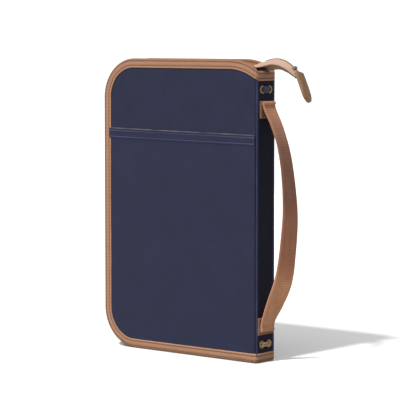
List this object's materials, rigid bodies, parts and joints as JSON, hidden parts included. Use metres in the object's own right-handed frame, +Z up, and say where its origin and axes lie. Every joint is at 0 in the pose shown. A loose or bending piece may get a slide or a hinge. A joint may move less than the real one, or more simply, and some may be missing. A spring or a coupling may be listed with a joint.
{
  "type": "travel document organizer",
  "caption": "Zip-around canvas folio with stiff covers, an outer slip pocket, bound edges, a webbing handle on the spine and document pockets inside.",
  "frame": {"origin": "middle of the spine's bottom edge, on the plane the organizer stands on", "axes": "+Z up along the spine, +X out of the spine towards the handle, +Y from the front cover to the back cover"},
  "size_m": [0.2386, 0.028, 0.2812],
  "materials": {
    "navy_canvas": "waxed cotton canvas, matte",
    "pocket_canvas": "waxed cotton canvas, matte",
    "lining": "plain cotton twill, matte",
    "board": "pressed fibre board",
    "binding_tape": "folded cotton binding tape, sewn with two rows",
    "webbing": "ribbed cotton webbing",
    "zip_tape": "woven zip tape",
    "zip_coil": "nylon coil",
    "tan_leather": "vegetable-tanned leather, satin",
    "brass": "antiqued brass",
    "steel": "plain metal clip",
    "elastic": "woven elastic",
    "cord": "waxed cotton cord"
  },
  "bodies": {
    "spine": {"spine_panel": "navy_canvas", "spine_board": "board", "spine_lining": "lining", "spine_top_binding": "binding_tape", "spine_bottom_binding": "binding_tape", "spine_eyelets": "brass", "booklet_elastic": "elastic", "tie_cord": "cord", "lower_handle_patch": "tan_leather", "upper_handle_patch": "tan_leather", "lower_handle_end": "webbing", "upper_handle_end": "webbing", "tail_root_front": "zip_tape", "tail_root_back": "zip_tape"},
    "front_cover": {"front_panel": "navy_canvas", "front_board": "board", "front_lining": "lining", "front_binding": "binding_tape", "front_zip_tape": "zip_tape", "front_zip_coil": "zip_coil", "front_pocket_panel": "navy_canvas", "document_sleeve": "pocket_canvas", "passport_pocket": "pocket_canvas", "pen_loop": "elastic"},
    "back_cover": {"back_panel": "navy_canvas", "back_board": "board", "back_lining": "lining", "back_binding": "binding_tape", "back_zip_tape": "zip_tape", "back_zip_coil": "zip_coil", "boarding_pass_pocket": "pocket_canvas", "card_pocket_upper": "pocket_canvas", "card_pocket_middle": "pocket_canvas", "card_pocket_lower": "pocket_canvas"},
    "handle": {"handle_webbing": "webbing"},
    "zip_tail": {"tail_front_tape": "zip_tape", "tail_back_tape": "zip_tape", "tail_coil": "zip_coil", "zip_end_stop": "steel"},
    "end_tab": {"tab_outer_leather": "tan_leather", "tab_inner_leather": "tan_leather"},
    "slider": {"zip_slider": "brass"},
    "pull": {"zip_pull": "tan_leather"}
  },
  "joints": [
    {"name": "front_cover_hinge", "type": "hinge", "parent": "spine", "child": "front_cover", "pos_m": [0.0008, -0.013, 0], "axis": [0, 0, 1], "range_deg": [0, 90]},
    {"name": "back_cover_hinge", "type": "hinge", "parent": "spine", "child": "back_cover", "pos_m": [0.0008, 0.013, 0], "axis": [0, 0, -1], "range_deg": [0, 90]},
    {"name": "handle_swing", "type": "hinge", "parent": "spine", "child": "handle", "pos_m": [0.004, 0, 0.14], "axis": [0, 0, 1], "range_deg": [-35, 35]},
    {"name": "tail_flex", "type": "hinge", "parent": "spine", "child": "zip_tail", "pos_m": [0.0028, 0, 0.2755], "axis": [0, 1, 0], "range_deg": [-30, 25]},
    {"name": "tab_flex", "type": "hinge", "parent": "zip_tail", "child": "end_tab", "pos_m": [0.03915, 0, 0.26807], "axis": [-0.284, 0.951, -0.1219], "range_deg": [-25, 25]},
    {"name": "slider_travel", "type": "slide", "parent": "spine", "child": "slider", "axis": [-1, 0, 0], "range_m": [0, 0.12]},
    {"name": "pull_swing", "type": "hinge", "parent": "slider", "child": "pull", "pos_m": [-0.01, 0, 0.0027], "axis": [0, -1, 0], "range_deg": [0, 145]}
  ]
}
